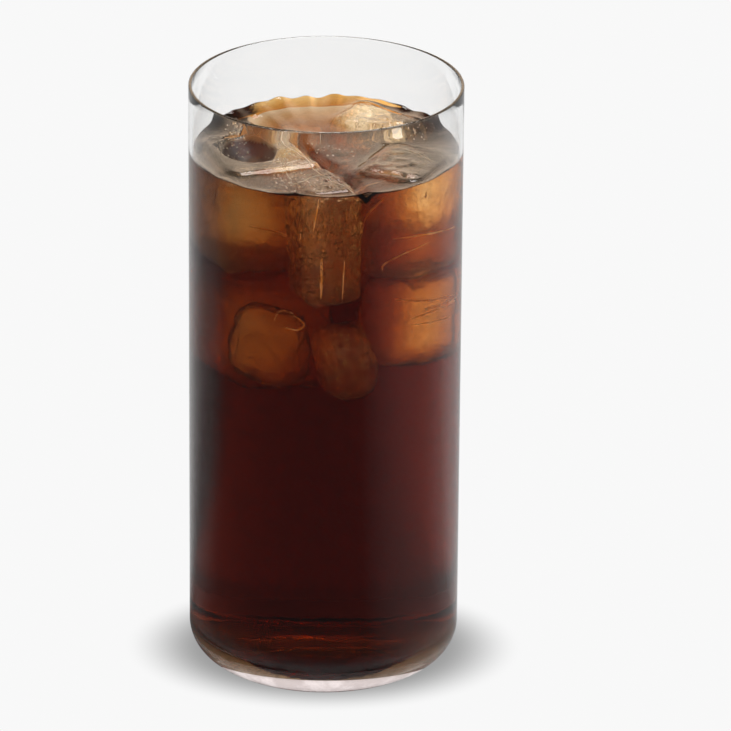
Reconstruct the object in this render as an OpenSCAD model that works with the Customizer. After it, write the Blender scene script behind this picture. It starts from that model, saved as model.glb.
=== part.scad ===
// Cold brew coffee over ice in a straight-sided tall glass.
// Z is up, and the origin is the middle of the foot on which the glass stands.

/* [Glass] */
// Outside diameter of the glass
glass_d = 64; // [50:0.5:90]
// Height of the glass from the foot to the top of the rim
glass_h = 144; // [100:1:220]
// Thickness of the side wall
wall = 0.8; // [0.6:0.1:3]
// Thickness of the base, from the foot to the inside floor
base_t = 2.8; // [2:0.1:12]
// Rounding where the outside wall turns into the foot
foot_r = 8; // [5:0.5:12]
// Rounding where the inside wall turns into the floor
floor_r = 7.2; // [3:0.2:12]
// Diameter of the shallow hollow under the base
punt_d = 34; // [16:1:34]
// Depth of that hollow at its middle
punt_depth = 0.8; // [0.3:0.1:1.5]

/* [Coffee] */
// Distance from the rim down to the surface of the coffee
headroom = 17; // [8:0.5:45]
// How far the coffee climbs the wall at its edge
meniscus = 1.6; // [0.8:0.1:2.5]
// Thickness of the upper edge of that climb
meniscus_edge = 0.2; // [0.1:0.05:0.5]
// Clearance between the coffee and the glass
fill_gap = 0.05; // [0.02:0.01:0.2]

/* [Ice] */
// Least distance between the ice and the wall
ice_wall_gap = 0.8; // [0.5:0.1:3]
// Amount taken off each side of a block, so that neighbours stay apart
ice_spacing = 0.5; // [0.2:0.1:2]
// Rounding of the melted edges of a block
ice_edge_r = 4; // [2.5:0.5:5]
// Depth of the round dimple in the top of the left block
dimple_depth = 3.5; // [1:0.5:6]
// How far the tops of the blocks stand above the coffee
ice_proud = 1.2; // [0.6:0.1:2.5]
// How much further the back block stands up
back_extra = 1.6; // [0:0.1:3]
// Clearance between the ice and the coffee round it
ice_gap = 0.05; // [0.02:0.01:0.2]

/* [Hidden] */
$fn = 128;

glass_r = glass_d / 2;
bore_r = glass_r - wall;
coffee_r = bore_r - fill_gap;
level = glass_h - headroom;
// Ice is laid out on a circle of this radius and sized in shares of it,
// so the blocks fill the bore and keep apart in a glass of any width
free_r = bore_r - ice_wall_gap;
over = 1; // how far a cutting shape runs past what it cuts

// A block: its place in plan, its width, depth and height (all shares of free_r),
// its turn about Z, its leans about X and Y, and its extra height above the coffee
LEFT = [[-0.49, -0.05], [0.83, 0.88, 0.86], 20, [4, -3], 0];
MIDDLE = [[0.00, -0.66], [0.50, 0.56, 0.98], 20, [2, -2], -0.3];
RIGHT = [[0.59, -0.26], [0.62, 0.76, 0.88], -25, [-3, 2], 0];
BACK = [[0.41, 0.58], [0.50, 0.76, 0.84], 54, [3, -4], back_extra];
DIMPLE_AT = [-2, 3.5]; // middle of the dimple, off the middle of its block
DIMPLE_R = 7; // radius of the ball that hollows the dimple

function block_size(b) = b[1] * free_r - 2 * ice_spacing * [1, 1, 1];

// Half section of a round-bottomed vessel of radius r, from z0 up to z1
module vessel_section(r, z0, z1, corner) {
    translate([0, z0]) square([r - corner, z1 - z0]);
    translate([0, z0 + corner]) square([r, z1 - z0 - corner]);
    translate([r - corner, z0 + corner]) circle(corner);
}

// Ball whose cap hollows the underside
module punt_section() {
    punt_ball = (pow(punt_d / 2, 2) + pow(punt_depth, 2)) / (2 * punt_depth);
    translate([0, punt_depth - punt_ball]) intersection() {
        circle(punt_ball, $fn = 720);
        translate([0, punt_ball - 2 * punt_depth]) square([punt_d, 3 * punt_depth]);
    }
}

// Square with rounded corners
module rounded_rect(w, d, r) {
    square([w - 2 * r, d], center = true);
    square([w, d - 2 * r], center = true);
    for (x = [-1, 1], y = [-1, 1])
        translate([x * (w / 2 - r), y * (d / 2 - r)]) circle(r);
}

// Melted block of ice round its own middle, every edge rounded, grown by gap
module melted_block(size, gap) {
    s = size + 2 * gap * [1, 1, 1];
    r = ice_edge_r + gap;
    intersection() {
        linear_extrude(s.z + over, center = true) rounded_rect(s.x, s.y, r);
        rotate([90, 0, 0]) linear_extrude(s.y + over, center = true) rounded_rect(s.x, s.z, r);
        rotate([90, 0, 90]) linear_extrude(s.x + over, center = true) rounded_rect(s.y, s.z, r);
    }
}

// Puts a block where it floats, with its top the stated height above the coffee
module afloat(b) {
    top = level + ice_proud + b[4];
    translate([b[0].x * free_r, b[0].y * free_r, top - block_size(b).z / 2])
        rotate([b[3].x, b[3].y, b[2]])
            children();
}

module ice_block(b, gap = 0) {
    afloat(b) melted_block(block_size(b), gap);
}

module glass() {
    color("white", 0.35) rotate_extrude() {
        difference() {
            vessel_section(glass_r, 0, glass_h - wall / 2, foot_r);
            vessel_section(bore_r, base_t, glass_h + over, floor_r);
            punt_section();
        }
        // round rim
        translate([glass_r - wall / 2, glass_h - wall / 2]) circle(wall / 2);
    }
}

module coffee() {
    color("#3a1d10") difference() {
        rotate_extrude() {
            vessel_section(coffee_r, base_t + fill_gap, level, floor_r - fill_gap);
            // climb at the wall
            translate([coffee_r - meniscus_edge - meniscus, level]) difference() {
                translate([0, -over]) square([meniscus_edge + meniscus, meniscus + over]);
                translate([0, meniscus]) circle(meniscus);
            }
        }
        for (b = [LEFT, MIDDLE, RIGHT, BACK]) ice_block(b, ice_gap);
    }
}

module ice_left() {
    color("#cdb294") difference() {
        ice_block(LEFT);
        afloat(LEFT)
            translate([DIMPLE_AT.x, DIMPLE_AT.y, block_size(LEFT).z / 2 + DIMPLE_R - dimple_depth])
                sphere(DIMPLE_R);
    }
}

module ice_middle() { color("#a9805a") ice_block(MIDDLE); }
module ice_right() { color("#c9ab82") ice_block(RIGHT); }
module ice_back() { color("#dccbb0") ice_block(BACK); }

glass();
coffee();
ice_left();
ice_middle();
ice_right();
ice_back();
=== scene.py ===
import math
import random

import bpy
import numpy as np
from mathutils import Matrix, Vector, noise


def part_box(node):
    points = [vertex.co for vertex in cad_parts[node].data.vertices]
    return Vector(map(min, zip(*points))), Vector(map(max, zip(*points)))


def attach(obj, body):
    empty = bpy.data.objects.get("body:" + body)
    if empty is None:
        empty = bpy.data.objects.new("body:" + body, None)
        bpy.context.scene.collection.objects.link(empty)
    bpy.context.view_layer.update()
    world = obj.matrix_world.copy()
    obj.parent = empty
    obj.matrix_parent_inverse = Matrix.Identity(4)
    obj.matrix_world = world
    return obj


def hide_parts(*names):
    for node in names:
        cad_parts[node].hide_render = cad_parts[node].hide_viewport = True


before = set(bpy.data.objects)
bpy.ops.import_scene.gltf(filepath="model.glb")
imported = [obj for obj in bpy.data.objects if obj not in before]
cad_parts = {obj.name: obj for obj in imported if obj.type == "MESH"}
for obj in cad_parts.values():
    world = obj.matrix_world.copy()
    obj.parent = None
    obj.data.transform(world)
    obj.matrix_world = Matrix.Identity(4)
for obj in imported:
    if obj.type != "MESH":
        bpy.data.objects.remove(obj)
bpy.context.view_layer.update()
mm = 0.001  # sizes below are in millimetres times this
random.seed(4)

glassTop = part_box("glass")[1]
glassRadius = glassTop.x
glassHeight = glassTop.z
headroom = 17 * mm  # from the coffee up to the rim
coffeeLevel = glassHeight - headroom
surfaceIce = ("ice_left", "ice_middle", "ice_right", "ice_back")


def addMesh(name, verts, faces):
    mesh = bpy.data.meshes.new(name)
    mesh.from_pydata(verts, [], faces)
    mesh.validate()
    mesh.polygons.foreach_set("use_smooth", [True] * len(mesh.polygons))
    piece = bpy.data.objects.new(name, mesh)
    bpy.context.scene.collection.objects.link(piece)
    return piece


def arc(centreR, centreZ, radius, startDeg, endDeg, steps):
    points = []
    for i in range(steps + 1):
        a = math.radians(startDeg + (endDeg - startDeg) * i / steps)
        points.append((centreR + radius * math.cos(a), centreZ + radius * math.sin(a)))
    return points


def line(start, end, steps):
    points = []
    for i in range(1, steps + 1):
        t = i / steps
        points.append((start[0] + (end[0] - start[0]) * t, start[1] + (end[1] - start[1]) * t))
    return points


def lathe(name, outline, segments):
    # the outline runs from the axis to the axis, so the turned mesh is closed
    verts = [(0, 0, outline[0][1])]
    rings = outline[1:-1]
    for r, z in rings:
        for s in range(segments):
            a = 2 * math.pi * s / segments
            verts.append((r * math.cos(a), r * math.sin(a), z))
    last = len(verts)
    verts.append((0, 0, outline[-1][1]))
    faces = []
    for s in range(segments):
        t = (s + 1) % segments
        faces.append((0, 1 + t, 1 + s))
        for k in range(len(rings) - 1):
            low = 1 + k * segments
            high = low + segments
            faces.append((low + s, low + t, high + t, high + s))
        top = 1 + (len(rings) - 1) * segments
        faces.append((top + s, top + t, last))
    return addMesh(name, verts, faces)


def fresh(name):
    material = bpy.data.materials.new(name)
    material.use_nodes = True
    return material, material.node_tree.nodes, material.node_tree.links


def setInputs(node, **values):
    for key, value in values.items():
        node.inputs[key.replace("_", " ")].default_value = value


def placeGroup(nodes, group, **values):
    node = nodes.new("ShaderNodeGroup")
    node.node_tree = group
    setInputs(node, **values)
    return node


def rippleGroup():
    # soft unevenness of a wet or fire-polished surface
    group = bpy.data.node_groups.new("ripple", "ShaderNodeTree")
    group.interface.new_socket("Broad Scale", in_out="INPUT", socket_type="NodeSocketFloat")
    group.interface.new_socket("Fine Scale", in_out="INPUT", socket_type="NodeSocketFloat")
    group.interface.new_socket("Fine Share", in_out="INPUT", socket_type="NodeSocketFloat")
    group.interface.new_socket("Height", in_out="OUTPUT", socket_type="NodeSocketFloat")
    nodes, links = group.nodes, group.links
    source = nodes.new("NodeGroupInput")
    result = nodes.new("NodeGroupOutput")
    coords = nodes.new("ShaderNodeTexCoord")
    broad = nodes.new("ShaderNodeTexNoise")
    fine = nodes.new("ShaderNodeTexNoise")
    broad.inputs["Detail"].default_value = 2
    fine.inputs["Detail"].default_value = 4
    links.new(coords.outputs["Object"], broad.inputs["Vector"])
    links.new(coords.outputs["Object"], fine.inputs["Vector"])
    links.new(source.outputs["Broad Scale"], broad.inputs["Scale"])
    links.new(source.outputs["Fine Scale"], fine.inputs["Scale"])
    share = nodes.new("ShaderNodeMath")
    share.operation = "MULTIPLY"
    links.new(fine.outputs["Fac"], share.inputs[0])
    links.new(source.outputs["Fine Share"], share.inputs[1])
    both = nodes.new("ShaderNodeMath")
    both.operation = "ADD"
    links.new(broad.outputs["Fac"], both.inputs[0])
    links.new(share.outputs[0], both.inputs[1])
    links.new(both.outputs[0], result.inputs["Height"])
    return group


def mottleGroup():
    # patches of clear and cloudy ice
    group = bpy.data.node_groups.new("mottle", "ShaderNodeTree")
    group.interface.new_socket("Scale", in_out="INPUT", socket_type="NodeSocketFloat")
    group.interface.new_socket("Clear", in_out="INPUT", socket_type="NodeSocketColor")
    group.interface.new_socket("Cloudy", in_out="INPUT", socket_type="NodeSocketColor")
    group.interface.new_socket("Color", in_out="OUTPUT", socket_type="NodeSocketColor")
    group.interface.new_socket("Cloud", in_out="OUTPUT", socket_type="NodeSocketFloat")
    nodes, links = group.nodes, group.links
    source = nodes.new("NodeGroupInput")
    result = nodes.new("NodeGroupOutput")
    coords = nodes.new("ShaderNodeTexCoord")
    patches = nodes.new("ShaderNodeTexNoise")
    patches.inputs["Detail"].default_value = 5
    patches.inputs["Roughness"].default_value = 0.62
    links.new(coords.outputs["Object"], patches.inputs["Vector"])
    links.new(source.outputs["Scale"], patches.inputs["Scale"])
    edge = nodes.new("ShaderNodeMapRange")
    edge.interpolation_type = "SMOOTHSTEP"
    setInputs(edge, From_Min=0.42, From_Max=0.62)
    links.new(patches.outputs["Fac"], edge.inputs["Value"])
    blend = nodes.new("ShaderNodeMix")
    blend.data_type = "RGBA"
    links.new(edge.outputs["Result"], blend.inputs["Factor"])
    links.new(source.outputs["Clear"], blend.inputs[6])
    links.new(source.outputs["Cloudy"], blend.inputs[7])
    links.new(blend.outputs[2], result.inputs["Color"])
    links.new(edge.outputs["Result"], result.inputs["Cloud"])
    return group


ripple = rippleGroup()
mottle = mottleGroup()


def addBump(nodes, links, shader, strength, distance, **values):
    height = placeGroup(nodes, ripple, **values)
    bump = nodes.new("ShaderNodeBump")
    setInputs(bump, Strength=strength, Distance=distance)
    links.new(height.outputs["Height"], bump.inputs["Height"])
    links.new(bump.outputs["Normal"], shader.inputs["Normal"])


def makeClearGlass(name, wet):
    material, nodes, links = fresh(name)
    shader = nodes["Principled BSDF"]
    setInputs(shader, Base_Color=(0.99, 0.992, 0.99, 1), Roughness=0.0, IOR=1.46)
    shader.inputs["Transmission Weight"].default_value = 1.0
    addBump(nodes, links, shader, 0.06, 0.4 * mm, Broad_Scale=70, Fine_Scale=400, Fine_Share=0.05)
    if wet:
        # liquid on the wall hides its reflection
        shader.inputs["Specular Tint"].default_value = (0, 0, 0, 1)
    return material


coffeeLook = {
    "clearBy": (0.71, 0.43, 0.05),
    "density": 200,
    "ripple": 0.12,
}


def makeCoffee():
    material, nodes, links = fresh("coldBrew")
    shader = nodes["Principled BSDF"]
    setInputs(shader, Base_Color=(1, 1, 1, 1), Roughness=0.0, IOR=1.33, Transmission_Weight=1.0)
    addBump(nodes, links, shader, coffeeLook["ripple"], 1 * mm,
            Broad_Scale=160, Fine_Scale=700, Fine_Share=0.12)
    absorb = nodes.new("ShaderNodeVolumeAbsorption")
    absorb.inputs["Color"].default_value = (*coffeeLook["clearBy"], 1)
    absorb.inputs["Density"].default_value = coffeeLook["density"]
    links.new(absorb.outputs["Volume"], nodes["Material Output"].inputs["Volume"])
    return material


iceLook = {
    "clear": (0.98, 0.90, 0.72, 1),
    "cloudy": (0.96, 0.82, 0.60, 1),
    "stainAndShade": (0.05, 0.012, 0.008, 1),
    "transmission": 0.95,
}


def makeIce():
    material, nodes, links = fresh("meltedIce")
    shader = nodes["Principled BSDF"]
    setInputs(shader, IOR=1.31, Transmission_Weight=iceLook["transmission"])
    patches = placeGroup(nodes, mottle, Scale=110, Clear=iceLook["clear"], Cloudy=iceLook["cloudy"])
    # coffee has stained the hollow of the block, most of all towards its edge; painted shade also darkens
    # one side of the blocks that have a shade value
    stainAndShade = nodes.new("ShaderNodeAttribute")
    stainAndShade.attribute_name = "stainAndShade"
    dark = nodes.new("ShaderNodeMix")
    dark.data_type = "RGBA"
    links.new(stainAndShade.outputs["Fac"], dark.inputs["Factor"])
    links.new(patches.outputs["Color"], dark.inputs[6])
    dark.inputs[7].default_value = iceLook["stainAndShade"]
    links.new(dark.outputs[2], shader.inputs["Base Color"])
    rough = nodes.new("ShaderNodeMapRange")
    setInputs(rough, To_Min=0.0, To_Max=0.06)
    links.new(patches.outputs["Cloud"], rough.inputs["Value"])
    soft = nodes.new("ShaderNodeMath")
    soft.operation = "MULTIPLY_ADD"
    links.new(stainAndShade.outputs["Fac"], soft.inputs[0])
    soft.inputs[1].default_value = 0.5
    links.new(rough.outputs["Result"], soft.inputs[2])
    links.new(soft.outputs[0], shader.inputs["Roughness"])
    addBump(nodes, links, shader, 0.3, 1 * mm, Broad_Scale=260, Fine_Scale=1300, Fine_Share=0.25)
    return material


def makeBubbleLook():
    material, nodes, links = fresh("trappedAir")
    shader = nodes["Principled BSDF"]
    setInputs(shader, Roughness=0.05, IOR=1.31, Transmission_Weight=0.85)
    patches = placeGroup(nodes, mottle, Scale=260,
                         Clear=(0.78, 0.52, 0.22, 1), Cloudy=(0.97, 0.86, 0.66, 1))
    links.new(patches.outputs["Color"], shader.inputs["Base Color"])
    return material


glassShape = {
    "wall": 0.8 * mm,
    "base": 2.8 * mm,
    "footRound": 8 * mm,
    "floorRound": 7.2 * mm,
    "puntRadius": 17 * mm,
    "puntDepth": 0.8 * mm,
    "segments": 256,
}
boreRadius = glassRadius - glassShape["wall"]


def makeGlass():
    g = glassShape
    r, h, w = glassRadius, glassHeight, g["wall"]
    puntBall = (g["puntRadius"] ** 2 + g["puntDepth"] ** 2) / (2 * g["puntDepth"])
    puntDeg = math.degrees(math.asin(g["puntRadius"] / puntBall))
    outline = arc(0, g["puntDepth"] - puntBall, puntBall, 90, 90 - puntDeg, 8)
    outline += line(outline[-1], (r - g["footRound"], 0), 3)
    outline += arc(r - g["footRound"], g["footRound"], g["footRound"], -90, 0, 24)[1:]
    outline += line(outline[-1], (r, h - w / 2), 40)
    outline += arc(r - w / 2, h - w / 2, w / 2, 0, 180, 12)[1:]
    outline += line(outline[-1], (boreRadius, coffeeLevel + 3 * mm), 6)
    outline += line(outline[-1], (boreRadius, g["base"] + g["floorRound"]), 110)
    innerR, innerZ = boreRadius - g["floorRound"], g["base"] + g["floorRound"]
    outline += arc(innerR, innerZ, g["floorRound"], 0, -90, 20)[1:]
    outline += line(outline[-1], (0, g["base"]), 8)
    glass = lathe("glass_tall", outline, g["segments"])
    glass.data.materials.append(makeClearGlass("clearGlass", False))
    glass.data.materials.append(makeClearGlass("wettedGlass", True))
    for face in glass.data.polygons:
        c = face.center
        inside = math.hypot(c.x, c.y) < boreRadius + 0.1 * mm and c.z > g["base"] - 0.1 * mm
        if inside and c.z < coffeeLevel + wallClimb(math.atan2(c.y, c.x)) - 0.3 * mm:
            face.material_index = 1
    return glass


# how the coffee lies: it climbs the wall in three scallops at the front, and higher at the back
coffeeShape = {
    "intoWall": 0.06 * mm,
    "climb": 1.0 * mm,
    "climbWidth": 1.3 * mm,
    "backWidth": 8 * mm,
    "climbAtIce": 0.8 * mm,
    "cusps": [(-102.5, 0.9, 6), (-72.0, 0.9, 6), (-150, 0.5, 7), (-28, 0.6, 6)],
    "backClimb": 1.9 * mm,
    "segments": 256,
    "rings": 80,
}
# the seam between the blocks, as points in plan, and how deep and wide it is
seam = {
    "path": [(-16, 18.7), (-7, 4.5), (-0.2, -7.5), (6.6, -20), (9.6, -29)],
    "depth": 2.2 * mm,
    "width": 1.4 * mm,
}


def wallClimb(angle):
    c = coffeeShape
    deg = math.degrees(angle)
    z = c["climb"]
    for at, height, width in c["cusps"]:
        off = abs((deg - at + 180) % 360 - 180)
        z += height * mm * math.exp(-off / width)
    back = max(math.sin(angle), 0) ** 2
    z += c["backClimb"] * back * (0.7 + 0.9 * noise.noise(Vector((deg / 9, 3, 0))))
    return z


def seamDrop(x, y):
    best = 1.0
    path = seam["path"]
    for (ax, ay), (bx, by) in zip(path, path[1:]):
        dx, dy = (bx - ax) * mm, (by - ay) * mm
        px, py = x - ax * mm, y - ay * mm
        t = min(max((px * dx + py * dy) / (dx * dx + dy * dy), 0), 1)
        best = min(best, math.hypot(px - t * dx, py - t * dy))
    return seam["depth"] * math.exp(-((best / seam["width"]) ** 2))


# size, turn and lean of every block; only those that lie wholly under the coffee say where
iceBlocks = {
    "ice_left": {"size": (24.2, 25.7, 25.1), "turn": 20, "lean": (4, -3), "melt": 0.45, "seed": 11,
                 "dimple": (-2, 2.6, 6.6, 3.8), "shade": 0.35, "crackle": 0.0},
    "ice_middle": {"size": (14.2, 16.0, 28.8), "turn": 20, "lean": (2, -2), "melt": 0.5, "seed": 23,
                   "crackle": 0.7},
    "ice_right": {"size": (17.8, 22.1, 25.7), "turn": -25, "lean": (-3, 2), "melt": 0.4, "seed": 37,
                  "crackle": 0.0},
    "ice_back": {"size": (14.2, 22.1, 24.5), "turn": 54, "lean": (3, -4), "melt": 0.5, "seed": 41,
                 "crackle": 0.15},
    "ice_low_left": {"size": (17, 12.5, 21), "turn": -14, "lean": (11, 9), "melt": 1.3, "seed": 53,
                     "crackle": 0.2, "at": (-11.5, -15.2, 86), "shade": 0.2, "round": 5.5},
    "ice_low_chip": {"size": (12.5, 14, 20), "turn": 15, "lean": (8, -8), "melt": 1.3, "seed": 97,
                     "crackle": 0.2, "at": (4.2, -20.0, 84), "round": 5.5},
    "ice_core": {"size": (8.4, 14, 23), "turn": 8, "lean": (3, 3), "melt": 0.7, "seed": 113,
                 "crackle": 0.1, "at": (4.1, 1.4, 107)},
    "ice_mid_back": {"size": (14, 12.5, 22), "turn": 8, "lean": (4, 6), "melt": 0.6, "seed": 101,
                     "crackle": 0.1, "at": (-7.4, 21.8, 108)},
    "ice_low_right": {"size": (21, 15, 22), "turn": 56, "lean": (-8, 10), "melt": 1.2, "seed": 61,
                      "crackle": 0.1, "at": (17.0, -6.5, 90), "round": 5.5},
    "ice_low_back": {"size": (19, 21, 26), "turn": 12, "lean": (7, -6), "melt": 0.6, "seed": 71,
                     "crackle": 0.1, "at": (-9.0, 13.0, 82)},
    "ice_low_far": {"size": (15, 18, 22), "turn": 50, "lean": (-5, 6), "melt": 0.6, "seed": 83,
                    "crackle": 0.1, "at": (14.2, 15.4, 83)},
}
iceRound = 4.0
iceShrink = 0.3  # what melting takes off a block, so that neighbours stay apart
cutterGrow = -0.06  # cutters are this much smaller, so that the drink reaches just into the ice
hollowStretch = 0.78  # the width of a block's hollow as a share of its length


def cubeGrid(count):
    # points on the unit cube's surface, shared along the edges
    index, verts, faces = {}, [], []

    def vertex(i, j, k):
        key = (i, j, k)
        if key not in index:
            index[key] = len(verts)
            verts.append([2 * v / count - 1 for v in key])
        return index[key]

    for axis in range(3):
        u, v = (axis + 1) % 3, (axis + 2) % 3
        for side in (0, count):
            for i in range(count):
                for j in range(count):
                    corners = []
                    for du, dv in ((0, 0), (1, 0), (1, 1), (0, 1)):
                        key = [0, 0, 0]
                        key[axis], key[u], key[v] = side, i + du, j + dv
                        corners.append(vertex(*key))
                    faces.append(corners if side else corners[::-1])
    return np.array(verts), faces


def blockPlace(name, block):
    if "at" in block:
        centre = Vector(block["at"]) * mm
    else:
        low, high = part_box(name)
        centre = (low + high) / 2
    turn = Matrix.Rotation(math.radians(block["turn"]), 4, "Z")
    turn = turn @ Matrix.Rotation(math.radians(block["lean"][1]), 4, "Y")
    turn = turn @ Matrix.Rotation(math.radians(block["lean"][0]), 4, "X")
    return Matrix.Translation(centre) @ turn


def meltedOffset(p, n, block, shift):
    # how far melting has moved the surface out from the plain rounded block
    off = noise.noise(p * 0.11 + shift) * block["melt"] * 1.6
    off += noise.noise(p * 0.33 + shift) * block["melt"] * 0.4
    fold = 1 - abs(noise.noise(p * 0.15 - shift))
    off += 0.3 * fold ** 10  # crisp ridges between the melted hollows
    if block["crackle"] > 0 and n.z > -0.5:
        near, far = noise.voronoi(p * 0.36 + shift)[0][:2]
        off -= block["crackle"] * max(0, 1 - (far - near) / 0.22)
    return off - iceShrink


def makeIceBlock(name, block, grow, count=44):
    points, faces = cubeGrid(count)
    half = np.array(block["size"]) / 2
    corner = block.get("round", iceRound)
    core = half - corner
    spread = points * half
    held = np.clip(spread, -core, core)
    out = spread - held
    out /= np.linalg.norm(out, axis=1)[:, None]
    shift = Vector((block["seed"], 0, 0))
    place = blockPlace(name, block)
    placed, stainAndShadeValues = [], []
    for base, normal in zip(held, out):
        p = Vector(base + normal * corner)
        n = Vector(normal)
        p += n * (meltedOffset(p, n, block, shift) + grow)
        # painted shade: a block with a shade value is darker towards one side, its local -x
        stainAndShadeValues.append(block.get("shade", 0) * max(0, min(1, 0.2 - p.x / half[0])))
        if "dimple" in block and n.z > 0.3:
            dx, dy, radius, depth = block["dimple"]
            off = math.hypot(p.x - dx, (p.y - dy) * hollowStretch) / radius
            if off < 1:
                p.z -= depth * (1 - off * off) ** 0.8
                stainAndShadeValues[-1] = min(1, (1 - off) * 9) * min(1, 0.55 + off)
        q = place @ (p * mm)
        if n.z > 0.3 and name in surfaceIce:
            q.z -= seamDrop(q.x, q.y) * n.z
        placed.append(q)
    piece = addMesh(name, placed, faces)
    stainAndShade = piece.data.attributes.new("stainAndShade", "FLOAT", "POINT")
    stainAndShade.data.foreach_set("value", stainAndShadeValues)
    return piece


# bubbles in each block: how many, how large, and the part of the block they fill
bubbleClouds = {
    "ice_left": [(420, (0.10, 0.26), (-0.2, 0.0, 0.75), (0.95, 0.9, 0.3)),
                 (420, (0.10, 0.28), (0.75, 0.1, 0.3), (0.25, 0.8, 0.7))],
    "ice_middle": [(1500, (0.10, 0.30), (0.0, 0.0, 0.1), (2.0, 2.0, 2.0))],
    "ice_right": [(900, (0.08, 0.20), (0.0, 0.0, 0.5), (1.4, 1.4, 0.6))],
    "ice_back": [(1100, (0.08, 0.24), (0.0, -0.1, 0.6), (1.2, 1.2, 0.5))],
    "ice_low_left": [(700, (0.10, 0.28), (0.0, 0.0, 0.0), (2.0, 2.0, 2.0))],
    "ice_low_chip": [(420, (0.10, 0.28), (0.0, 0.0, 0.0), (2.0, 2.0, 2.0))],
    "ice_low_right": [(500, (0.10, 0.28), (0.0, 0.0, 0.1), (2.0, 2.0, 2.0))],
    "ice_low_back": [(400, (0.12, 0.30), (0.0, 0.0, 0.0), (2.0, 2.0, 2.0))],
    "ice_low_far": [(300, (0.12, 0.30), (0.0, 0.0, 0.0), (2.0, 2.0, 2.0))],
    "ice_core": [(500, (0.10, 0.28), (0.0, 0.0, 0.0), (2.0, 2.0, 2.0))],
    "ice_mid_back": [(300, (0.12, 0.30), (0.0, 0.0, 0.0), (2.0, 2.0, 2.0))],
}


def makeBubbles():
    # each bubble is an eight-sided bead, all of them joined in one mesh
    verts, faces = [], []
    for name, clouds in bubbleClouds.items():
        block = iceBlocks[name]
        place = blockPlace(name, block)
        half = np.array(block["size"]) / 2 - 1.6
        for count, (small, large), middle, spread in clouds:
            made = 0
            while made < count:
                p = [max(-0.92, min(0.92, random.gauss(m, s * 0.42))) for m, s in zip(middle, spread)]
                if sum(v * v for v in p) > 1.75:
                    continue
                cloud = noise.noise(Vector(p) * 2.2 + Vector((block["seed"], 0, 0)))
                if cloud < random.uniform(-0.35, 0.15):
                    continue
                made += 1
                centre = np.array(p) * half
                if "dimple" in block:
                    dx, dy, radius, depth = block["dimple"]
                    under = math.hypot(centre[0] - dx, centre[1] - dy) < radius
                    if under and centre[2] > half[2] - depth - 1:
                        continue
                size = small + (large - small) * random.random() ** 2
                first = len(verts)
                for v in np.array(beadCorners) * size + centre:
                    verts.append(place @ (Vector(v) * mm))
                faces += [tuple(first + i for i in side) for side in beadSides]
    bubbles = addMesh("ice_bubbles", verts, faces)
    bubbles.data.materials.append(makeBubbleLook())
    return bubbles


# films of air within the blocks, which carry a painted glow: width, thickness, and points as shares of half
# the block
iceFilms = {
    "ice_left": [(0.28, 0.15, [(-0.4, -0.92, 0.05), (0.1, -0.92, -0.1), (0.5, -0.92, -0.35),
                               (0.8, -0.9, -0.6)])],
    "ice_middle": [(0.22, 0.15, [(-0.45, -0.7, 0.9), (-0.72, -0.85, 0.4)]),
                   (0.20, 0.15, [(-0.85, -0.35, 0.4), (-0.85, -0.1, 0.1)]),
                   (0.5, 0.12, [(-0.45, -0.85, -0.1), (-0.5, -0.85, -0.8)]),
                   (0.3, 0.12, [(0.3, -0.85, -0.2), (0.2, -0.85, -0.85)])],
    "ice_right": [(0.32, 0.15, [(-0.25, -0.9, 0.6), (-0.7, -0.9, 0.2), (-0.8, -0.9, -0.15)]),
                  (0.26, 0.15, [(0.88, 0.55, -0.28), (0.88, -0.6, -0.12), (0.05, -0.9, -0.2)]),
                  (0.26, 0.15, [(0.88, -0.45, -0.3), (0.3, -0.9, -0.5), (-0.15, -0.9, -0.7),
                                (-0.2, -0.9, -0.85)])],
    "ice_low_right": [(0.5, 0.15, [(-0.75, -0.86, 0.05), (0.2, -0.86, 0.15), (0.8, -0.86, 0.27)]),
                      (0.3, 0.15, [(-0.6, -0.86, -0.1), (0.55, -0.86, -0.12)]),
                      (0.35, 0.15, [(-0.88, -0.4, 0.5), (-0.15, -0.86, 0.38), (0.7, -0.86, 0.34)]),
                      (1.0, 0.15, [(-0.3, -0.86, 0.2), (0.75, -0.86, 0.2)])],
    "ice_low_left": [(0.35, 0.25, [(0.1, -0.5, 0.86), (0.1, 0.2, 0.86), (0.3, 0.45, 0.86),
                                   (0.65, 0.05, 0.86), (0.85, -0.3, 0.84), (0.75, -0.75, 0.84),
                                   (0.45, -0.8, 0.84)])],
}
# pale threads of foam lying on top, put there as painted highlights along the light lines of the surface:
# width, and points in plan
highlightThreads = [
    (0.13, [(-15, 8.5), (-12, 6), (-9.5, 0), (-5, -6), (-2.5, -13), (1, -20), (5.5, -25), (10, -28)]),
    (0.11, [(-9, -13), (-7.5, -20.5), (-5.3, -21), (-2.5, -17), (0.5, -16.5)]),
    (0.09, [(18, 1.5), (21, -3), (25.5, -8.5)]),
    (0.12, [(15.5, 9), (18, 12), (20.5, 13), (25, 17)]),
    (0.09, [(14.5, 7), (17, 9), (20, 11), (24.5, 14.5)]),
]
# patches of fine foam on top: how many beads, middle and spread in plan
surfaceFoam = [(150, (-10, -9), (1.6, 5.5)), (110, (-21.5, 6), (2.2, 5)), (70, (-8, -21), (2.5, 2)),
               (80, (1, 4), (4, 4)), (60, (20, 12), (4, 2))]


def throughPoints(points, steps=8):
    # a smooth curve through the points
    pts = [Vector(p) for p in points]
    pts = [2 * pts[0] - pts[1]] + pts + [2 * pts[-1] - pts[-2]]
    curve = []
    for a, b, c, d in zip(pts, pts[1:], pts[2:], pts[3:]):
        for k in range(steps):
            t = k / steps
            bend = (2 * a - 5 * b + 4 * c - d) * t * t + (3 * b - a - 3 * c + d) * t ** 3
            curve.append((2 * b + (c - a) * t + bend) / 2)
    return curve + [pts[-2]]


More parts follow.
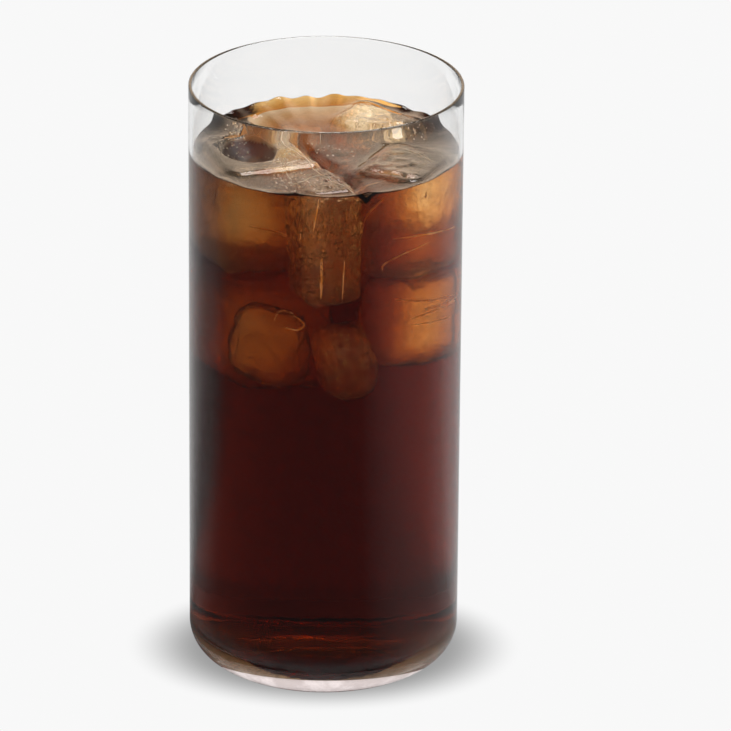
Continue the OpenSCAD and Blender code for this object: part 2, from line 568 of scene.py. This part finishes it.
def addThread(verts, faces, curve, wide, thin):
    # a closed ribbon, tapering to both ends
    sides, first = 8, len(verts)
    for i, p in enumerate(curve):
        ahead = curve[min(i + 1, len(curve) - 1)] - curve[max(i - 1, 0)]
        across = ahead.cross(Vector((0.05, 0.93, -0.35))).normalized()
        out = across.cross(ahead).normalized()
        taper = math.sin(math.pi * (i + 0.5) / len(curve)) ** 0.6
        taper *= 0.75 + 0.6 * noise.noise(p / (2.5 * mm))
        for k in range(sides):
            a = 2 * math.pi * k / sides
            verts.append(p + (across * math.cos(a) * wide + out * math.sin(a) * thin) * taper * mm)
    rows = [[first + i * sides + k for k in range(sides)] for i in range(len(curve))]
    for low, high in zip(rows, rows[1:]):
        for k in range(sides):
            m = (k + 1) % sides
            faces.append((low[k], high[k], high[m], low[m]))
    faces.append(tuple(rows[0]))
    faces.append(tuple(rows[-1][::-1]))


def makeFilms():
    verts, faces = [], []
    for name, films in iceFilms.items():
        block = iceBlocks[name]
        place = blockPlace(name, block)
        half = [v / 2 - 0.1 for v in block["size"]]
        for wide, thin, points in films:
            curve = throughPoints([place @ Vector(v * h * mm for v, h in zip(p, half)) for p in points])
            addThread(verts, faces, curve, wide * 0.8, thin)
    return verts, faces


def topAt(pieces, x, y):
    # the height of the uppermost piece there
    hits = [piece.ray_cast(Vector((x, y, 1)), Vector((0, 0, -1))) for piece in pieces]
    return max((spot.z for hit, spot, normal, face in hits if hit), default=None)


def addHighlightThreads(verts, faces, pieces):
    for wide, points in highlightThreads:
        curve = throughPoints([(x * mm, y * mm, 0) for x, y in points], 14)
        held = []
        for p in curve:
            sway = Vector((noise.noise(p / (4 * mm)), noise.noise(p / (3 * mm) + Vector((9, 0, 0))), 0))
            p += sway * 0.6 * mm
            z = topAt(pieces, p.x, p.y)
            if z is not None:
                held.append(Vector((p.x, p.y, z)))
        smooth = []
        for i, p in enumerate(held):
            near = held[max(i - 2, 0):i + 3]
            smooth.append(Vector((p.x, p.y, max(p.z, sum(q.z for q in near) / len(near)) + 0.04 * mm)))
        addThread(verts, faces, smooth, wide, wide * 0.7)


beadCorners = [(1, 0, 0), (-1, 0, 0), (0, 1, 0), (0, -1, 0), (0, 0, 1), (0, 0, -1)]
beadSides = [(0, 2, 4), (2, 1, 4), (1, 3, 4), (3, 0, 4), (2, 0, 5), (1, 2, 5), (3, 1, 5), (0, 3, 5)]


def addSurfaceFoam(verts, faces, pieces):
    for count, middle, spread in surfaceFoam:
        for i in range(count):
            x, y = (random.gauss(m, s) * mm for m, s in zip(middle, spread))
            if math.hypot(x, y) > boreRadius - 1.5 * mm:
                continue
            z = topAt(pieces, x, y)
            if z is None:
                continue
            size = (0.08 + 0.2 * random.random() ** 2) * mm
            first = len(verts)
            verts += [Vector((x, y, z)) + Vector(c) * size for c in beadCorners]
            faces += [tuple(first + k for k in side) for side in beadSides]


def makeCaughtLight():
    # films of air, golden to pale, with a faint painted glow that stands in for the glints of light they
    # catch
    material, nodes, links = fresh("caughtLight")
    shader = nodes["Principled BSDF"]
    setInputs(shader, Roughness=0.3, IOR=1.31, Transmission_Weight=0.7, Emission_Strength=0.16)
    patches = placeGroup(nodes, mottle, Scale=300,
                         Clear=(0.75, 0.36, 0.06, 1), Cloudy=(0.95, 0.72, 0.45, 1))
    links.new(patches.outputs["Color"], shader.inputs["Base Color"])
    links.new(patches.outputs["Color"], shader.inputs["Emission Color"])
    return material


def makeFoamAndHighlightLook():
    material, nodes, links = fresh("foamAndHighlightLook")
    # pale stuff on the surface: the threads are painted highlights, the beads are fine foam
    shader = nodes["Principled BSDF"]
    setInputs(shader, Roughness=0.3, IOR=1.31, Transmission_Weight=0.55)
    patches = placeGroup(nodes, mottle, Scale=500,
                         Clear=(0.80, 0.62, 0.42, 1), Cloudy=(0.98, 0.90, 0.78, 1))
    links.new(patches.outputs["Color"], shader.inputs["Base Color"])
    return material


def distanceToBlock(x, y, block, centre):
    # distance in plan from the outline that the block has at the surface
    a = -math.radians(block["turn"])
    dx, dy = x - centre.x, y - centre.y
    lx = dx * math.cos(a) - dy * math.sin(a)
    ly = dx * math.sin(a) + dy * math.cos(a)
    hx = (block["size"][0] / 2 - 4.2) * mm
    hy = (block["size"][1] / 2 - 4.2) * mm
    qx, qy = abs(lx) - hx, abs(ly) - hy
    return math.hypot(max(qx, 0), max(qy, 0)) + min(max(qx, qy), 0) - 3 * mm


def surfaceHeight(x, y, floating):
    c = coffeeShape
    r = math.hypot(x, y)
    gap = max(min(distanceToBlock(x, y, b, p) for b, p in floating), 0)
    width = c["climbWidth"] + c["backWidth"] * max(y / (r + 1e-6), 0) ** 2
    z = wallClimb(math.atan2(y, x)) * math.exp(-max(boreRadius - r, 0) / width)
    z += c["climbAtIce"] * math.exp(-gap / c["climbWidth"])
    z += 0.15 * mm * noise.noise(Vector((x, y, 0)) / (5 * mm))
    z -= seamDrop(x, y) * min(1, (boreRadius - r) / (2 * mm) + 0.05)
    for block, centre in floating:
        if "dimple" in block:
            # no coffee stands in the hollow
            turn = math.radians(block["turn"])
            dx, dy, radius = (v * mm for v in block["dimple"][:3])
            lx = (x - centre.x) * math.cos(turn) + (y - centre.y) * math.sin(turn) - dx
            ly = (y - centre.y) * math.cos(turn) - (x - centre.x) * math.sin(turn) - dy
            z -= 5 * mm * min(1, max(0, 1.1 - math.hypot(lx, ly * hollowStretch) / radius) * 5)
    return coffeeLevel + z


def applyModifiers(piece):
    depsgraph = bpy.context.evaluated_depsgraph_get()
    mesh = bpy.data.meshes.new_from_object(piece.evaluated_get(depsgraph))
    piece.modifiers.clear()
    piece.data = mesh


def makeCoffeeBody(cutters):
    c, g = coffeeShape, glassShape
    r = boreRadius + c["intoWall"]
    low = g["base"] - c["intoWall"]
    corner = g["floorRound"] + c["intoWall"]
    floating = [(iceBlocks[name], blockPlace(name, iceBlocks[name]).translation) for name in surfaceIce]
    outline = [(0, low)]
    outline += line((0, low), (r - corner, low), 10)
    outline += arc(r - corner, low + corner, corner, -90, 0, 20)[1:]
    outline += line(outline[-1], (r, coffeeLevel - 2 * mm), 60)
    outline += line(outline[-1], (r, coffeeLevel), 3)
    steps = c["rings"]
    for i in range(steps):
        outline.append((boreRadius * (1 - (i / steps) ** 1.35), coffeeLevel))
    outline.append((0, coffeeLevel))
    body = lathe("coffee_body", outline, c["segments"])
    for v in body.data.vertices:
        if v.co.z > coffeeLevel - 0.01 * mm:
            v.co.z = surfaceHeight(v.co.x, v.co.y, floating)
    for cutter in cutters:
        cut = body.modifiers.new("cut", "BOOLEAN")
        cut.operation = "DIFFERENCE"
        cut.solver = "MANIFOLD"
        cut.object = cutter
    applyModifiers(body)
    body.data.materials.clear()
    body.data.materials.append(makeCoffee())
    body.data.polygons.foreach_set("material_index", [0] * len(body.data.polygons))
    body.data.set_sharp_from_angle(angle=math.radians(40))
    return body


clinging = {
    "inner": boreRadius - 0.40 * mm,
    "outer": boreRadius - 0.08 * mm,
    "below": 2.6 * mm,
    "above": -0.12 * mm,
    "tint": (0.66, 0.36, 0.10, 1),
    "fromDeg": 12,
    "sweepDeg": 156,
    "segments": 150,
    "rows": 9,
}


def makeClingingCoffee():
    # a thin film of coffee on the wall at the back, ragged along its top
    c = clinging
    rows = c["rows"]
    ring = 2 * rows
    verts, faces = [], []
    for i in range(c["segments"] + 1):
        angle = math.radians(c["fromDeg"] + c["sweepDeg"] * i / c["segments"])
        share = math.sin(math.pi * i / c["segments"]) ** 0.4
        coarse = noise.noise(Vector((angle * 6, 0, 7)))
        fine = noise.noise(Vector((angle * 30, 0, 2)))
        ragged = 0.8 + 0.7 * coarse + 0.25 * fine
        low = coffeeLevel - c["below"]
        high = coffeeLevel + wallClimb(angle) + c["above"] * share * ragged
        across = math.cos(angle), math.sin(angle)
        for k in range(rows):
            z = low + (high - low) * k / (rows - 1)
            lean = (c["outer"] - c["inner"]) * (1 - 0.7 * k / (rows - 1))
            verts.append((across[0] * (c["outer"] - lean), across[1] * (c["outer"] - lean), z))
        for k in range(rows):
            z = high + (low - high) * k / (rows - 1)
            verts.append((across[0] * c["outer"], across[1] * c["outer"], z + (0.05 * mm if k == 0 else 0)))
    for i in range(c["segments"]):
        here, ahead = i * ring, (i + 1) * ring
        for k in range(ring):
            m = (k + 1) % ring
            faces.append((here + k, here + m, ahead + m, ahead + k))
    last = c["segments"] * ring
    faces.append(tuple(range(ring - 1, -1, -1)))
    faces.append(tuple(last + k for k in range(ring)))
    cling = addMesh("coffee_cling", verts, faces)
    material, nodes, links = fresh("clingingCoffee")
    shader = nodes["Principled BSDF"]
    setInputs(shader, Roughness=0.0, IOR=1.02, Transmission_Weight=1.0)
    patches = placeGroup(nodes, mottle, Scale=90, Clear=c["tint"], Cloudy=(0.78, 0.50, 0.20, 1))
    links.new(patches.outputs["Color"], shader.inputs["Base Color"])
    cling.data.materials.append(material)
    return cling


glass = makeGlass()
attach(glass, "root")
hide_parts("glass")
print("glass done", len(glass.data.polygons))

footLight = {
    "middles": (-91, 89),
    "spread": 58,
    "from": 30,
    "to": 66,
    "atEnds": 3,
    "depth": (0.25, 0.42),
    "steps": (90, 10),
}


def makeFootLight():
    # stands in for the light that the foot catches: a thin crescent with a glow of its own, inside
    # the glass at front and back; its angles are in degrees up the round of the foot
    f, g = footLight, glassShape
    across, up = f["steps"]
    centre = glassRadius - g["footRound"]
    verts, faces = [], []
    for middle in f["middles"]:
        first = len(verts)
        for i in range(across + 1):
            share = 2 * i / across - 1
            turn = math.radians(middle + share * f["spread"])
            ends = f["from"] + f["atEnds"]
            top = ends + (f["to"] - ends) * (1 - share * share) ** 0.8
            for depth in f["depth"]:
                for k in range(up + 1):
                    t = math.radians(f["from"] + (top - f["from"]) * k / up)
                    out, rise = math.sin(t), 1 - math.cos(t)
                    outer = centre + g["footRound"] * out, g["footRound"] * rise
                    inner = centre + g["floorRound"] * out, g["base"] + g["floorRound"] * rise
                    r, z = (o + (n - o) * depth for o, n in zip(outer, inner))
                    verts.append((r * math.cos(turn), r * math.sin(turn), z))
        ring = list(range(up + 1)) + list(range(2 * up + 1, up, -1))
        wide = 2 * (up + 1)
        for i in range(across):
            for a, b in zip(ring, ring[1:] + ring[:1]):
                low, high = first + i * wide, first + (i + 1) * wide
                faces.append((low + a, high + a, high + b, low + b))
        faces.append([first + k for k in ring])
        faces.append([first + across * wide + k for k in ring[::-1]])
    piece = addMesh("foot_light", verts, faces)
    material, nodes, links = fresh("footLight")
    shader = nodes["Principled BSDF"]
    setInputs(shader, Base_Color=(0.2, 0.18, 0.18, 1), Roughness=0.4, Emission_Strength=0.8)
    patches = placeGroup(nodes, mottle, Scale=160,
                         Clear=(0.70, 0.61, 0.60, 1), Cloudy=(0.98, 0.88, 0.87, 1))
    links.new(patches.outputs["Color"], shader.inputs["Emission Color"])
    piece.data.materials.append(material)
    return piece


footGlow = makeFootLight()
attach(footGlow, "root")
iceMaterial = makeIce()
cutters = []
for name, block in iceBlocks.items():
    ice = makeIceBlock(name, block, 0.0)
    ice.name = name + "_block"
    ice.data.materials.append(iceMaterial)
    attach(ice, "root")
    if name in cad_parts:
        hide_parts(name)
    cutters.append(makeIceBlock(name, block, cutterGrow))
print("ice done", len(iceBlocks), "blocks")

coffee = makeCoffeeBody(cutters)
for cutter in cutters:
    bpy.data.objects.remove(cutter)
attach(coffee, "root")
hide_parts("coffee")
print("coffee done", len(coffee.data.polygons))

cling = makeClingingCoffee()
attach(cling, "root")
foamAndHighlightLook = makeFoamAndHighlightLook()
films = addMesh("ice_films", *makeFilms())
films.data.materials.append(makeCaughtLight())
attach(films, "root")
foamAndHighlightVerts, foamAndHighlightFaces = [], []
bpy.context.view_layer.update()
tops = [coffee] + [bpy.data.objects[name + "_block"] for name in surfaceIce]
# painted highlights as pale threads on top, then beads of fine foam
addHighlightThreads(foamAndHighlightVerts, foamAndHighlightFaces, tops)
addSurfaceFoam(foamAndHighlightVerts, foamAndHighlightFaces, tops)
foamAndHighlights = addMesh("surface_foam_and_highlights", foamAndHighlightVerts, foamAndHighlightFaces)
foamAndHighlights.data.materials.append(foamAndHighlightLook)
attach(foamAndHighlights, "root")
bubbles = makeBubbles()
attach(bubbles, "root")
print("bubbles done", len(bubbles.data.polygons))


stageLook = {
    "floor": 0.94,
    "shadowFrom": 48 * mm,
    "shadowTo": 28 * mm,
    "shadowDepth": 0.64,
    "shadowSquash": 1.3,
    "darkestUnder": (0, 11 * mm, 0),
}
# how the floor's brightness changes: where the change starts and ends, and its value at each end
floorFades = {
    "under": (20 * mm, 42 * mm, 0.0, 0.8),
    "further": (32 * mm, 60 * mm, 1.0, 1.16),
    "leftward": (-0.3, -0.06, 1.9, 1.0),
    "rightward": (0.24, 0.46, 1.0, 0.25),
    "frontward": (-0.1, 0.3, 1.0, 0.0),
    "close": (36 * mm, 60 * mm, 1.0, 0.0),
    "behind": (-0.1, 0.5, 0.06, 1.0),
    "straight": (0.4, 0.6, 1.0, 0.0),
    "filled": (4.4, 4.6, 0.0, 1.0),
    "gloss": (0.15, 0.75, 0.09, 0.6),
    "aside": (0.25, 0.95, 0.0, 0.36),
    "full": (4.4, 4.6, 1.0, 1.2),
}


def mathNode(nodes, links, operation, first, second):
    node = nodes.new("ShaderNodeMath")
    node.operation = operation
    for socket, value in zip(node.inputs, (first, second)):
        if isinstance(value, (int, float)):
            socket.default_value = value
        else:
            links.new(value, socket)
    return node.outputs[0]


def rangeNode(nodes, links, value, low, high, toLow, toHigh):
    node = nodes.new("ShaderNodeMapRange")
    node.interpolation_type = "SMOOTHSTEP"
    setInputs(node, From_Min=low, From_Max=high, To_Min=toLow, To_Max=toHigh)
    links.new(value, node.inputs["Value"])
    return node.outputs["Result"]


def makeStage():
    floor = addMesh("floor", [(-6, -6, 0), (6, -6, 0), (6, 8, 0), (-6, 8, 0)], [(0, 1, 2, 3)])
    material, nodes, links = fresh("paleFloor")
    nodes.remove(nodes["Principled BSDF"])
    place = nodes.new("ShaderNodeNewGeometry")
    flat = nodes.new("ShaderNodeVectorMath")
    flat.operation = "NORMALIZE"
    links.new(place.outputs["Position"], flat.inputs[0])
    way = nodes.new("ShaderNodeSeparateXYZ")
    links.new(flat.outputs[0], way.inputs[0])
    reach = nodes.new("ShaderNodeVectorMath")
    reach.operation = "LENGTH"
    links.new(place.outputs["Position"], reach.inputs[0])
    # soft contact shadow, wider than deep
    squash = nodes.new("ShaderNodeVectorMath")
    squash.operation = "MULTIPLY"
    links.new(place.outputs["Position"], squash.inputs[0])
    squash.inputs[1].default_value = (1, stageLook["shadowSquash"], 0)
    oval = nodes.new("ShaderNodeVectorMath")
    oval.operation = "LENGTH"
    links.new(squash.outputs[0], oval.inputs[0])
    lit = rangeNode(nodes, links, oval.outputs["Value"], stageLook["shadowTo"], stageLook["shadowFrom"],
                    stageLook["floor"] * (1 - stageLook["shadowDepth"]), stageLook["floor"])
    # seen through the drink: dark under it, paler at the left, dim at the right behind
    apart = nodes.new("ShaderNodeVectorMath")
    apart.operation = "DISTANCE"
    links.new(place.outputs["Position"], apart.inputs[0])
    apart.inputs[1].default_value = stageLook["darkestUnder"]
    fades = floorFades
    under = rangeNode(nodes, links, apart.outputs["Value"], *fades["under"])
    further = rangeNode(nodes, links, reach.outputs["Value"], *fades["further"])
    leftward = rangeNode(nodes, links, way.outputs["X"], *fades["leftward"])
    rightward = rangeNode(nodes, links, way.outputs["X"], *fades["rightward"])
    frontward = rangeNode(nodes, links, way.outputs["Y"], *fades["frontward"])
    rightward = mathNode(nodes, links, "MAXIMUM", rightward, frontward)
    close = rangeNode(nodes, links, reach.outputs["Value"], *fades["close"])
    behind = rangeNode(nodes, links, way.outputs["Y"], *fades["behind"])
    facing = mathNode(nodes, links, "MAXIMUM", close, behind)
    path = nodes.new("ShaderNodeLightPath")
    # dark in front only for what the surface mirrors, sideways only through the drink
    straight = rangeNode(nodes, links, path.outputs["Glossy Depth"], *fades["straight"])
    facing = mathNode(nodes, links, "MAXIMUM", facing, straight)
    filled = rangeNode(nodes, links, path.outputs["Transmission Depth"], *fades["filled"])
    sideways = mathNode(nodes, links, "MULTIPLY", leftward, rightward)
    sideways = mathNode(nodes, links, "SUBTRACT", sideways, 1)
    sideways = mathNode(nodes, links, "MULTIPLY", sideways, filled)
    sideways = mathNode(nodes, links, "ADD", sideways, 1)
    through = under
    for share in (further, sideways, facing):
        through = mathNode(nodes, links, "MULTIPLY", through, share)
    # seen in the gloss of the glass: dark in front, pale behind
    lean = mathNode(nodes, links, "MULTIPLY", way.outputs["X"], 0.2)
    tilt = mathNode(nodes, links, "ADD", way.outputs["Y"], lean)
    gloss = rangeNode(nodes, links, tilt, *fades["gloss"])
    aside = rangeNode(nodes, links, way.outputs["X"], *fades["aside"])
    gloss = mathNode(nodes, links, "MAXIMUM", gloss, aside)
    # a little brighter through the drink than through the empty glass
    full = rangeNode(nodes, links, path.outputs["Transmission Depth"], *fades["full"])
    through = mathNode(nodes, links, "MULTIPLY", through, full)
    value = lit
    for ray, other in (("Is Transmission Ray", through), ("Is Reflection Ray", gloss)):
        mix = nodes.new("ShaderNodeMix")
        mix.data_type = "FLOAT"
        links.new(path.outputs[ray], mix.inputs[0])
        links.new(value, mix.inputs[2])
        links.new(other, mix.inputs[3])
        value = mix.outputs[0]
    glow = nodes.new("ShaderNodeEmission")
    links.new(value, glow.inputs["Strength"])
    links.new(glow.outputs[0], nodes["Material Output"].inputs["Surface"])
    floor.data.materials.append(material)


worldLook = {
    "rise": (0.0, 0.15, 0.9, 1.9),
    "fall": (0.5, 0.72, 1.0, 0.16),
    "deep": (6.4, 6.6, 0.0, 1.0),
    "deepLoss": 0.95,
    "tint": (1, 0.78, 0.58, 1),
}


def makeWorld():
    world = bpy.data.worlds.new("studio")
    bpy.context.scene.world = world
    world.use_nodes = True
    nodes, links = world.node_tree.nodes, world.node_tree.links
    shade = nodes["Background"]
    coords = nodes.new("ShaderNodeTexCoord")
    split = nodes.new("ShaderNodeSeparateXYZ")
    links.new(coords.outputs["Generated"], split.inputs[0])
    rise = rangeNode(nodes, links, split.outputs["Z"], *worldLook["rise"])
    fall = rangeNode(nodes, links, split.outputs["Z"], *worldLook["fall"])
    band = mathNode(nodes, links, "MULTIPLY", rise, fall)
    path = nodes.new("ShaderNodeLightPath")
    # what the base mirrors through the whole drink is dim
    deep = rangeNode(nodes, links, path.outputs["Transmission Depth"], *worldLook["deep"])
    once = mathNode(nodes, links, "COMPARE", path.outputs["Glossy Depth"], 1)
    deep = mathNode(nodes, links, "MULTIPLY", deep, once)
    deep = mathNode(nodes, links, "MULTIPLY", deep, worldLook["deepLoss"])
    kept = mathNode(nodes, links, "SUBTRACT", 1, deep)
    band = mathNode(nodes, links, "MULTIPLY", band, kept)
    mix = nodes.new("ShaderNodeMix")
    mix.data_type = "FLOAT"
    links.new(path.outputs["Is Camera Ray"], mix.inputs[0])
    links.new(band, mix.inputs[2])
    mix.inputs[3].default_value = stageLook["floor"]
    links.new(mix.outputs[0], shade.inputs["Strength"])
    tint = nodes.new("ShaderNodeMix")
    tint.data_type = "RGBA"
    links.new(path.outputs["Is Camera Ray"], tint.inputs["Factor"])
    tint.inputs[6].default_value = worldLook["tint"]
    tint.inputs[7].default_value = (1, 1, 1, 1)
    links.new(tint.outputs[2], shade.inputs["Color"])


overhead = {
    "place": Vector((0.25, 0.35, 1.35)),
    "target": Vector((0, 0, 0.1)),
    "size": (1.0, 0.8),
    "power": 22,
}


def makeOverhead():
    light = bpy.data.lights.new("overhead", "AREA")
    light.shape = "RECTANGLE"
    light.size, light.size_y = overhead["size"]
    light.energy = overhead["power"]
    lamp = bpy.data.objects.new("overhead", light)
    lamp.location = overhead["place"]
    lamp.rotation_euler = (overhead["target"] - overhead["place"]).to_track_quat("-Z", "Y").to_euler()
    bpy.context.scene.collection.objects.link(lamp)


makeStage()
makeWorld()
makeOverhead()
print("stage done")


cameraView = {
    "distance": 50 * glassRadius,
    "elevation": 22.98,
    "roll": 0.469,
    "aim": Vector((0.2997, 0, 2.283)) * glassRadius,
    "lens": 334.25,
}


def makeCamera():
    v = cameraView
    e = math.radians(v["elevation"])
    data = bpy.data.cameras.new("camera")
    data.lens = v["lens"]
    data.sensor_width = 36
    data.clip_end = 50
    camera = bpy.data.objects.new("camera", data)
    camera.location = v["aim"] + v["distance"] * Vector((0, -math.cos(e), math.sin(e)))
    look = (v["aim"] - camera.location).to_track_quat("-Z", "Y").to_matrix().to_4x4()
    roll = Matrix.Rotation(math.radians(v["roll"]), 4, "Z")
    camera.matrix_world = Matrix.Translation(camera.location) @ look @ roll
    bpy.context.scene.collection.objects.link(camera)
    bpy.context.scene.camera = camera


makeCamera()
scene = bpy.context.scene
scene.view_settings.view_transform = "Standard"
scene.cycles.max_bounces = 24
scene.cycles.transmission_bounces = 24
scene.cycles.glossy_bounces = 8
